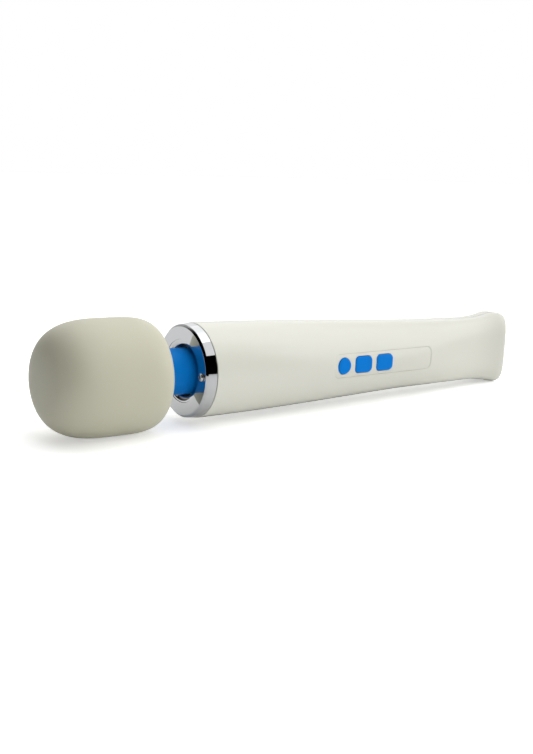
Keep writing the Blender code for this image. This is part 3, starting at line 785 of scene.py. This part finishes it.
@dataclass(frozen=True)
class HeadCover:
    """The soft bulb: one thick silicone skin, turned in at its mouth round the neck.

    Attributes:
        widest: Station of the widest place.
        back: Length behind the widest place.
        nose_bulge: Powers of the bulged outline in front.
        back_bulge: Powers of the bulged outline behind.
        count: Points in a quarter of the outline.
    """

    radius: float = 30.0 * MM
    widest: float = 35.4 * MM
    back: float = 27.7 * MM
    nose_bulge: tuple[float, float] = (2.88, 3.44)
    back_bulge: tuple[float, float] = (4.3, 6.5)
    wall: float = 4.1 * MM
    mouth: float = 14.9 * MM
    count: int = 34
    rear_wall: float = 4.3 * MM

    def quarter(self, length: float, radius: float, bulge: tuple[float, float]) -> Profile:
        """Points (distance from the widest place, radius) from the pole outwards."""
        points = []
        for step in range(self.count + 1):
            turn = math.pi / 2 * step / self.count
            along = length * max(math.cos(turn), 0.0) ** (2.0 / bulge[0])
            points.append((along, radius * math.sin(turn) ** (2.0 / bulge[1])))
        return points

    def outline(self, inset: float) -> Profile:
        """The outline of the skin, inset by a wall, from the tip to the mouth."""
        radius = self.radius - inset
        nose = self.quarter(self.widest - inset, radius, self.nose_bulge)
        back = self.quarter(self.back - inset, radius, self.back_bulge)
        points = [(self.widest - along, around) for along, around in nose]
        points += [
            (self.widest + along, around)
            for along, around in reversed(back[:-1])
            if around > self.mouth + 0.3 * MM
        ]
        return points

    def build(self, bench: Bench) -> None:
        """Turn the skin, with a soft lip at its mouth."""
        rear = self.widest + self.back
        lip = [(rear - 0.02 * MM, self.mouth + 0.5 * MM)]
        lip += [(rear - 0.2 * MM, self.mouth + 0.12 * MM), (rear - 0.6 * MM, self.mouth)]
        lip += [(rear - self.rear_wall + 0.3 * MM, self.mouth)]
        inner = [p for p in self.outline(self.wall) if p[0] < rear - self.rear_wall]
        lip += [(rear - self.rear_wall, self.mouth + 0.3 * MM)]
        profile = self.outline(0.0) + lip + list(reversed(inner))
        cover = bench.turned("head_cover_skin", profile, 128, closed=False)
        bench.lay(cover, Slot.SILICONE, "head_cover", "head", 60.0)


# ---- the neck


@dataclass(frozen=True)
class NeckSleeve:
    """The blue sleeve over the flexible neck, made as two lengths.

    Attributes:
        bead: Radius of the bead that fills the head's mouth, in front of the barrel.
        bead_length: Length in which the bead runs down to the barrel.
        middle: Station where its two lengths meet, between the two bends.
    """

    radius: float = 12.4 * MM
    bead: float = 14.2 * MM
    bead_length: float = 4.6 * MM
    wall: float = 2.0 * MM
    start: float = 59.0 * MM
    middle: float = 71.75 * MM
    end: float = 86.0 * MM

    def outside(self, station: float) -> float:
        """Radius of the sleeve at a station."""
        share = HandleForm.ease((station - self.start) / self.bead_length)
        return self.bead + (self.radius - self.bead) * share

    def length(self, bench: Bench, name: str, start: float, end: float, count: int) -> Thing:
        """One length of the sleeve, as a closed tube."""
        reach = end - start
        stations = [start + 0.1 * MM]
        stations += [start + reach * step / count for step in range(1, count)]
        stations += [end - 0.1 * MM]
        bore = self.radius - self.wall
        profile = [(start, bore), (start, self.outside(start))]
        profile += [(station, self.outside(station)) for station in stations]
        profile += [(end, self.outside(end)), (end, bore)]
        inner = [(station, bore) for station in reversed(stations)]
        return bench.turned(name, profile + inner, 96)

    def build(self, bench: Bench) -> None:
        """Build both lengths and lay each into the row frame."""
        front = self.length(bench, "neck_sleeve_front", self.start, self.middle, 26)
        rear = self.length(bench, "neck_sleeve_rear", self.middle, self.end, 28)
        frame = bench.frame
        for piece in (front, rear):
            bench.lay(piece, Slot.BLUE_RUBBER, "neck_boot", smooth=60.0)
        frame.point(self.middle - 0.8 * MM)
        frame.point(63.5 * MM)
        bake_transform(front)
        frame.point(79.8 * MM)
        frame.point(self.middle + 0.8 * MM)
        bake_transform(rear)


# ---- the collar


@dataclass(frozen=True)
class Collar:
    """The polished collar, rounded into its hole, and the two screws in its face.

    Attributes:
        lip: Radius of the small step where the face starts to round into the hole.
        lip_step: Depth of that step.
        lip_depth: How deep the rounding runs into the hole.
        face_edge: Radius where the flat face ends in its bevel.
        band: Radius of the band at the bevel.
        radius: Outer radius at the handle.
        screw_offset: Distance of each screw from the axis.
    """

    start: float = 80.2 * MM
    end: float = 86.4 * MM
    hole: float = 13.6 * MM
    lip: float = 16.9 * MM
    lip_step: float = 0.3 * MM
    lip_depth: float = 2.4 * MM
    face_edge: float = 23.6 * MM
    bevel: float = 1.0 * MM
    band: float = 24.8 * MM
    radius: float = 25.4 * MM
    screw_offset: float = 20.0 * MM
    screw_radius: float = 2.1 * MM

    def profile(self) -> Profile:
        """The collar's closed outline, from the hole over the face and band and back inside."""
        crest = self.lip - 0.25 * MM
        reach = crest - self.hole
        points = []
        for step in range(15):
            turn = math.pi / 2 * step / 14
            station = self.start + self.lip_step + self.lip_depth * (1.0 - math.sin(turn))
            points.append((station, crest - reach * math.cos(turn)))
        points += [(self.start + self.lip_step - 0.06 * MM, self.lip - 0.08 * MM)]
        points += [(self.start, self.lip), (self.start, self.face_edge)]
        points += [(self.start + 0.05 * MM, self.face_edge + 0.09 * MM)]
        points += [(self.start + self.bevel - 0.05 * MM, self.band - 0.09 * MM)]
        points += [(self.start + self.bevel + 0.04 * MM, self.band)]
        points += [(self.end - 0.12 * MM, self.radius), (self.end, self.radius - 0.1 * MM)]
        points += [(self.end, 22.4 * MM), (92.0 * MM, 22.4 * MM), (92.0 * MM, 20.9 * MM)]
        return points + [(self.start + 3.0 * MM, 20.9 * MM), (self.start + 3.0 * MM, self.hole)]

    def screw(self, bench: Bench) -> Thing:
        """One pan-head screw with a cross recess, on the axis."""
        top = self.start - 1.75 * MM
        seat = self.start - 0.25 * MM
        profile = [(top, 0.0), (top + 0.02 * MM, 0.7 * MM), (top + 0.22 * MM, 1.35 * MM)]
        profile += [(top + 0.55 * MM, 1.82 * MM), (top + 1.0 * MM, self.screw_radius)]
        profile += [(seat, self.screw_radius), (seat, 1.4 * MM), (90.4 * MM, 1.4 * MM)]
        profile += [(90.4 * MM, 0.0)]
        return bench.screw(
            "collar_screw", profile, (0.28 * MM, 1.15 * MM), top + 0.85 * MM, 0.05 * MM
        )

    def build(self, bench: Bench) -> None:
        """Turn the collar, drill it and set the two screws."""
        ring = bench.turned("collar_ring", self.profile(), 160)
        for side in (-1, 1):
            y = side * self.screw_offset
            drill = bench.rod("collar_drill", 1.7 * MM, (70 * MM, y, 0.0), (100 * MM, y, 0.0), 32)
            bench.cut(ring, drill, "DIFFERENCE")
        bench.lay(ring, Slot.CHROME, "collar", "handle", 25.0)
        near = self.screw(bench)
        far = bench.twin(near, "collar_screw_back", (0.0, self.screw_offset, 0.0))
        near.name = "collar_screw_front"
        near.location = (0.0, -self.screw_offset, 0.0)
        bench.settle(near)
        for piece, node in ((near, "collar_screw_near"), (far, "collar_screw_far")):
            bench.lay(piece, Slot.STEEL, node, "handle", 30.0)


# ---- the handle


@dataclass(frozen=True)
class PanelSizes:
    """The button panel's outline on the handle."""

    start: float = 167.3 * MM
    end: float = 246.9 * MM
    half_height: float = 6.9 * MM
    corner: float = 3.4 * MM
    sink: float = 0.12 * MM
    wall: float = 1.7 * MM
    gap: float = 0.14 * MM

    def outline(self, bench: Bench, name: str, shrink: float) -> Thing:
        """A prism with the panel's outline, through the button side."""
        half = self.half_height - shrink
        return bench.slab(
            name,
            (self.start + shrink, -40 * MM, -half),
            (self.end - shrink, -10 * MM, half),
            self.corner - shrink,
            10,
        )


@dataclass(frozen=True)
class HandleShells:
    """The two glossy halves of the handle, closed round the tail by a rounded rim.

    Attributes:
        sides: Points round a section.
        stations: Rings along the outside.
        seam: Half of the gap between the halves.
        ledge: Station of the ledge behind the end plate.
        screws: Name, station and height of each shell screw.
    """

    form: HandleForm
    panel: PanelSizes
    wall: float = 2.6 * MM
    sides: int = 160
    stations: int = 96
    seam: float = 0.12 * MM
    ledge: float = 320.9 * MM
    screws: tuple[tuple[str, float, float], ...] = (
        ("front_upper", 170.0 * MM, 13.5 * MM),
        ("front_lower", 170.0 * MM, -13.5 * MM),
        ("rear_upper", 262.0 * MM, 11.0 * MM),
        ("rear_lower", 262.0 * MM, -11.0 * MM),
    )

    def rings(self) -> list[Ring]:
        """The rings of the wall: along the outside, round the rim and back inside."""
        ring, start, end, ledge = self.form.ring, self.form.start, self.form.end, self.ledge
        rim = self.form.rim_round
        last = end - rim
        reach = last - start - 0.1 * MM
        count = self.stations
        made = [ring(start, 0.1 * MM)]
        made += [ring(start + 0.1 * MM + reach * step / count, 0.0) for step in range(count + 1)]
        made += [ring(last + rim * math.sin(math.pi / 2 * step / 8), 0.0) for step in range(1, 8)]
        made += [ring(end, 3.0 * MM - rim), ring(end - 0.1 * MM, 3.1 * MM, last)]
        made += [ring(ledge, 3.1 * MM, last), ring(ledge, 4.6 * MM, last)]
        made += [ring(ledge - 2.0 * MM, 4.6 * MM, last), ring(ledge - 3.5 * MM, self.wall, last)]
        back = ledge - 8.0 * MM
        return made + [ring(back - (back - start) * step / 23, self.wall) for step in range(24)]

    def shell(self, bench: Bench, side: Side) -> Thing:
        """One half of the handle, cut from the whole wall at the seam."""
        shell = bench.rolled(f"{side.name.lower()}_shell_skin", self.rings(), self.sides)
        bench.edit(shell)
        bpy.ops.mesh.select_all(action="SELECT")
        bpy.ops.mesh.bisect(
            plane_co=(0.0, side.value * self.seam, 0.0),
            plane_no=(0.0, side.value, 0.0),
            use_fill=True,
            clear_inner=True,
        )
        bench.close_edit()
        return shell

    def bore_screws(self, bench: Bench, shell: Thing) -> None:
        """Stand a post for each screw in the back shell, and bore it."""
        for name, station, z in self.screws:
            depth = self.form.half_depth(station)
            post = bench.rod(
                "post", 4.4 * MM, (station, 0.5 * MM, z), (station, depth * 0.8, z), 40
            )
            bench.cut(shell, post, "UNION")
            for tool, radius, start in (("seat", 3.4 * MM, 7.0 * MM), ("hole", 1.7 * MM, -1 * MM)):
                drill = bench.rod(tool, radius, (station, start, z), (station, 40 * MM, z), 40)
                bench.cut(shell, drill, "DIFFERENCE")

    def screw(self, bench: Bench) -> Thing:
        """One shell screw, on the axis, its head towards the tip."""
        profile = [(-2.2 * MM, 0.0), (-2.18 * MM, 1.1 * MM), (-2.0 * MM, 1.9 * MM)]
        profile += [(-1.5 * MM, 2.6 * MM), (-0.9 * MM, 2.9 * MM), (0.0, 2.9 * MM)]
        profile += [(0.0, 1.3 * MM), (17.0 * MM, 1.3 * MM), (17.0 * MM, 0.0)]
        screw = bench.screw("shell_screw", profile, (0.32 * MM, 1.5 * MM), -0.9 * MM, 0.06 * MM)
        screw.rotation_euler = (0.0, 0.0, -math.pi / 2)
        return bench.settle(screw)

    def build(self, bench: Bench) -> None:
        """Build both halves and set the four screws."""
        front = self.shell(bench, Side.FRONT)
        bench.cut(front, self.panel.outline(bench, "opening", 0.0), "DIFFERENCE")
        rear = self.shell(bench, Side.REAR)
        self.bore_screws(bench, rear)
        for piece, node in ((front, "front_shell"), (rear, "rear_shell")):
            bench.soften(piece, 0.12 * MM, 2)
            bench.lay(piece, Slot.SHELL, node, "handle", 40.0)
        first = self.screw(bench)
        for name, station, z in self.screws:
            place = (station, 7.3 * MM, z)
            copy = bench.twin(first, f"shell_screw_{name}_set", place)
            bench.lay(copy, Slot.STEEL, f"shell_screw_{name}", "handle", 30.0)
        bpy.data.objects.remove(first)


# ---- the button panel


@dataclass(frozen=True)
class Key:
    """One blue key of the panel, its sizes given from its middle."""

    name: str
    station: float
    half_length: float = 6.4 * MM
    half_height: float = 4.75 * MM
    corner: float = 2.7 * MM

    def prism(self, bench: Bench, name: str, near: float, far: float, grow: float = 0.0) -> Thing:
        """A prism with the key's outline, grown by a little, between two distances.

        Args:
            bench: The modelling steps.
            name: The prism's name.
            near: Its Y nearest the buttons' side.
            far: Its other Y.
            grow: How much bigger it is than the key, all round.

        Returns:
            The prism, in the wand's frame.
        """
        if self.half_length == self.half_height == self.corner:
            start, end = (self.station, near, 0.0), (self.station, far, 0.0)
            return bench.rod(name, self.corner + grow, start, end, 64)
        low = (self.station - self.half_length - grow, near, -self.half_height - grow)
        high = (self.station + self.half_length + grow, far, self.half_height + grow)
        return bench.slab(name, low, high, self.corner + grow, 12)


@dataclass(frozen=True)
class ButtonPanel:
    """The panel let into the handle, and its three keys.

    Attributes:
        rise: How far a key stands proud of the panel.
        crown: Radius of a key's rounded rim.
        play: Gap round a key.
    """

    form: HandleForm
    panel: PanelSizes
    rise: float = 0.6 * MM
    crown: float = 0.55 * MM
    play: float = 0.3 * MM
    keys: tuple[Key, ...] = field(
        default_factory=lambda: (
            Key("power", 174.0 * MM, 4.7 * MM, 4.7 * MM, 4.7 * MM),
            Key("minus", 189.0 * MM),
            Key("plus", 205.9 * MM),
        )
    )

    def plate(self, bench: Bench) -> Thing:
        """The panel, with the handle's own curve, cut to its outline and for its keys."""
        outer, inner = self.panel.sink, self.panel.sink + self.panel.wall
        count = 44
        reach = self.panel.end - self.panel.start + 8 * MM
        stations = [self.panel.start - 4 * MM + reach * step / count for step in range(count)]
        rings = [self.form.ring(station, outer) for station in stations]
        rings += [self.form.ring(station, inner) for station in reversed(stations)]
        plate = bench.rolled("button_panel_plate", rings, 160)
        outline = self.panel.outline(bench, "panel_edge", self.panel.gap)
        bench.cut(plate, outline, "INTERSECT")
        for key in self.keys:
            hole = key.prism(bench, "key_hole", -40 * MM, -10 * MM, self.play)
            bench.cut(plate, hole, "DIFFERENCE")
        bench.soften(plate, 0.12 * MM, 2)
        return plate

    def crowned(self, bench: Bench, key: Key) -> Thing:
        """A key with a rounded rim, its top curved as the handle under it."""
        face = self.form.half_depth(key.station) - self.panel.sink
        top = -(face + self.rise)
        body = key.prism(bench, f"{key.name}_button", top + self.crown, -(face - 3.2 * MM))
        mesh = bench.edit(body, "FACE")
        bench.choose(mesh.faces, lambda f: f.normal.y < -0.9)
        taken = 0.0
        for step in range(1, 6):
            turn = math.pi / 2 * step / 5
            inset = self.crown * (1.0 - math.cos(turn))
            lift = self.crown * (math.sin(turn) - math.sin(turn - math.pi / 10))
            bpy.ops.mesh.inset(thickness=inset - taken, depth=0.0, use_even_offset=True)
            bpy.ops.transform.translate(value=(0.0, -lift, 0.0))
            taken = inset
        for _ in range(4):
            bpy.ops.mesh.inset(thickness=0.42 * MM, depth=0.0, use_even_offset=True)
        bench.close_edit()
        for vertex in body.data.vertices:
            if vertex.co.y < top + 2.2 * self.crown:
                vertex.co.y += face - math.sqrt(face**2 - vertex.co.z**2)
        return body

    def build(self, bench: Bench) -> None:
        """Build the panel and its keys."""
        plate = self.plate(bench)
        bench.lay(plate, Slot.SHELL, "button_panel", "handle", 40.0)
        for key in self.keys:
            button = self.crowned(bench, key)
            flange_top = -(self.form.half_depth(key.station) - self.panel.sink) + 2.7 * MM
            flange = key.prism(bench, "flange", flange_top, flange_top + 1.2 * MM, 1.1 * MM)
            bench.cut(button, flange, "UNION")
            bench.lay(button, Slot.BLUE_KEY, f"{key.name}_key", f"{key.name}_key")


# ---- the tail


@dataclass(frozen=True)
class TailEnd:
    """The plate in the tail's end, and the power inlet in its middle."""

    form: HandleForm
    start: float = 321.2 * MM
    inset: float = 3.4 * MM
    hole: float = 4.9 * MM
    socket: float = 4.5 * MM
    bore: float = 2.9 * MM
    socket_start: float = 310.5 * MM

    def build(self, bench: Bench) -> None:
        """Build the end plate and the inlet's socket."""
        form, end = self.form, self.form.end
        size = end - form.rim_round
        bench.clear()
        bpy.ops.mesh.primitive_circle_add(vertices=160, radius=1.0, fill_type="NGON")
        plate = bench.name("tail_end_plate")
        for vertex in plate.data.vertices:
            share = math.atan2(vertex.co.y, vertex.co.x) / (2.0 * math.pi) % 1.0
            place = form.around(size, self.inset, share)
            vertex.co = Vector((self.start, place.y, place.z))
        mesh = bench.edit(plate, "FACE")
        bench.choose(mesh.faces, lambda f: True)
        bpy.ops.mesh.extrude_region_move(
            TRANSFORM_OT_translate={"value": (end - self.start, 0.0, 0.0)}
        )
        bench.close_edit()
        drill = bench.rod("inlet_drill", self.hole, (0.30, 0.0, 0.0), (0.34, 0.0, 0.0), 64)
        bench.cut(plate, drill, "DIFFERENCE")
        bench.soften(plate, 0.25 * MM, 3)
        bench.lay(plate, Slot.SHELL, "tail_plate", "handle", 40.0)
        mouth = end - 0.3 * MM
        profile = [(self.socket_start, 0.0), (self.socket_start, self.socket)]
        profile += [(mouth - 0.3 * MM, self.socket), (mouth, self.socket - 0.3 * MM)]
        profile += [(mouth, self.bore + 0.5 * MM), (mouth - 0.5 * MM, self.bore)]
        profile += [(self.socket_start + 2 * MM, self.bore), (self.socket_start + 2 * MM, 0.0)]
        socket = bench.turned("inlet_ring", profile, 64, closed=False)
        bench.lay(socket, Slot.BLACK_PLASTIC, "inlet_socket", "handle", 30.0)


# ---- the studio


@dataclass(frozen=True)
class Card:
    """A card that faces the wand, hidden from the camera: its middle, size and brightness."""

    name: str
    place: Place
    size: tuple[float, float]
    shade: float

    def build(self) -> Thing:
        """Stand the card in the studio."""
        Bench.clear()
        place = Vector(self.place)
        bpy.ops.mesh.primitive_plane_add(size=1.0, location=place)
        card = Bench.name(self.name)
        away = (Vector((0.0, 0.0, 0.03)) - place).normalized()
        card.rotation_euler = away.to_track_quat("Z", "Y").to_euler()
        card.scale = (*self.size, 1.0)
        Bench.settle(card)
        material = bpy.data.materials.new(f"{self.name}_paper")
        material.use_nodes = True
        hand = Nodes(material.node_tree)
        hand.tree.nodes.remove(hand.tree.nodes["Principled BSDF"])
        glow = hand.add("Emission", {"Color": (self.shade, self.shade, self.shade, 1.0)})
        hand.link(glow, 0, hand.tree.nodes["Material Output"], "Surface")
        card.data.materials.append(material)
        card.visible_camera = False
        return card


@dataclass(frozen=True)
class Studio:
    """A white floor and surround, one soft box, and cards that shape the reflections."""

    floor_size: float = 60.0
    lens: float = 48.0
    low_light: float = 0.32
    high_light: float = 1.42
    front_light: float = 2.25
    back_light: float = 0.6
    nose_light: float = 0.0
    floor_lift: float = 0.36
    floor_glow: float = 0.08
    camera_place: Place = (-0.35746, -0.44510, 0.13128)
    camera_right: Place = (0.804496, -0.593471, 0.024088)
    camera_forward: Place = (0.585856, 0.786192, -0.196667)
    cards: tuple[Card, ...] = (
        Card("dark_card", (0.47, -0.915, 0.38), (0.55, 0.80), 0.0),
        Card("grey_card", (0.43, -0.70, 1.07), (0.90, 0.76), 1.25),
        Card("nose_card", (-0.36, -0.12, 0.15), (0.52, 0.36), 0.0),
    )

    def camera(self) -> None:
        """The camera, low and off the head's end, looking along the wand."""
        bpy.ops.object.camera_add(location=self.camera_place)
        camera = bpy.context.object
        right = Vector(self.camera_right).normalized()
        forward = Vector(self.camera_forward).normalized()
        turn = Matrix((right, right.cross(forward).normalized(), -forward)).transposed()
        camera.matrix_world = Matrix.Translation(self.camera_place) @ turn.to_4x4()
        camera.data.lens = self.lens
        camera.data.sensor_width = 36.0
        camera.data.clip_start = 0.01
        bpy.context.scene.camera = camera

    def floor(self) -> None:
        """The pale floor, lifted to white where the camera sees it."""
        Bench.clear()
        bpy.ops.mesh.primitive_plane_add(size=self.floor_size)
        floor = Bench.name("studio_floor")
        material = bpy.data.materials.new("studio_paper")
        material.use_nodes = True
        shader = material.node_tree.nodes["Principled BSDF"]
        hand = Nodes(material.node_tree)
        hand.fill(shader, {"Base Color": (0.90, 0.90, 0.90, 1.0), "Roughness": 0.9})
        hand.fill(shader, {"Specular IOR Level": 0.1, "Emission Color": (1.0, 1.0, 1.0, 1.0)})
        path = hand.add("LightPath")
        lifts = {1: self.floor_lift, 2: self.floor_glow}
        lift = hand.add("Math", lifts, operation="MULTIPLY_ADD")
        hand.link(path, "Is Camera Ray", lift, 0)
        hand.link(lift, 0, shader, "Emission Strength")
        floor.data.materials.append(material)

    @staticmethod
    def under_card() -> None:
        """A black card on the floor under the handle, painted shade: it stands in for the floor's
        shadow beneath the handle and is seen only in the reflections of the wand's underside, as a
        dark line along its lower edge.
        """
        # Painted shade: this black card is hidden from the camera, from diffuse light and from
        # shadows, so it only darkens the underside's reflections, in place of the shadow on the
        # floor beneath the handle.
        under = Card("under_card", (0.0, 0.0, -0.02), (0.05, 0.23), 0.0).build()
        under.rotation_euler = (0.0, 0.0, math.pi / 2)
        under.location = (0.045, 0.02, 0.0206)
        under.visible_shadow = False
        under.visible_diffuse = False
        Bench.settle(under)

    @staticmethod
    def softbox() -> None:
        """The wide soft box overhead, behind the wand."""
        bpy.ops.object.light_add(type="AREA", location=(0.25, 0.62, 1.1))
        light = bpy.context.object
        light.name = "overhead_box"
        light.data.shape = "RECTANGLE"
        light.data.size, light.data.size_y = 1.9, 1.2
        light.data.energy = 2.5
        light.rotation_euler = Vector((0.0, 0.0, -1.1)).to_track_quat("-Z", "Y").to_euler()
        light.visible_camera = False

    @staticmethod
    def facing(hand: Nodes, towards: Place, span: tuple[float, ...]) -> Node:
        """A value that changes smoothly as a direction turns towards another.

        Args:
            hand: The hand that wires the surround.
            towards: The other direction.
            span: The cosines where it starts and stops changing, then its values there.

        Returns:
            The node that gives the value.
        """
        way = hand.add("TexCoord")
        dot = hand.add("VectorMath", {1: Vector(towards).normalized()}, operation="DOT_PRODUCT")
        value = hand.add("MapRange", dict(enumerate(span, 1)), interpolation_type="SMOOTHSTEP")
        hand.link(way, "Generated", dot, 0)
        hand.link(dot, "Value", value, 0)
        return value

    def surround(self) -> None:
        """The white surround: light from above, the front and behind, dim beyond the nose."""
        world = bpy.data.worlds.new("studio_surround")
        world.use_nodes = True
        hand = Nodes(world.node_tree)
        above = self.facing(hand, (0.0, 0.0, 1.0), (0.0, 1.0, self.low_light, self.high_light))
        front = self.facing(hand, (0.35, -0.9, 0.25), (0.0, 1.0, 0.0, self.front_light))
        back = self.facing(hand, (0.60, 0.79, 0.08), (0.7, 1.0, 0.0, self.back_light))
        nose = self.facing(hand, (-1.0, -0.15, 0.0), (-0.2, 0.55, 1.0, self.nose_light))
        light = above
        seen = hand.add("LightPath")
        steps = (("ADD", front), ("ADD", back), ("MULTIPLY", nose), ("MAXIMUM", seen))
        for operation, other in steps:
            step = hand.add("Math", operation=operation)
            hand.link(light, 0, step, 0)
            hand.link(other, 0, step, 1)
            light = step
        shade = world.node_tree.nodes["Background"]
        hand.link(light, 0, shade, "Strength")
        hand.fill(shade, {"Color": (1.0, 1.0, 1.0, 1.0)})
        bpy.context.scene.world = world
        bpy.context.scene.view_settings.view_transform = "Standard"

    def build(self) -> None:
        """Build the whole studio."""
        self.camera()
        self.floor()
        self.surround()
        self.softbox()
        for card in self.cards:
            card.build()
        self.under_card()


# ---- the whole


def main() -> None:
    """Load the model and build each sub-assembly in order."""
    logging.basicConfig(level=logging.INFO, format="%(name)s: %(message)s")
    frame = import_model()
    palette = Palette()
    palette.dress_nodes(frame["record"], frame["nodes"])
    bench = Bench(WandFrame.from_joints(frame["joints"]), palette)
    form, panel = HandleForm(), PanelSizes()
    assemblies = (
        HeadCover(),
        NeckSleeve(),
        Collar(),
        HandleShells(form, panel),
        ButtonPanel(form, panel),
        TailEnd(form),
    )
    for assembly in assemblies:
        assembly.build(bench)
        log.info("built %s", type(assembly).__name__)
    Studio().build()
    Bench.clear()


if __name__ == "__main__":
    main()
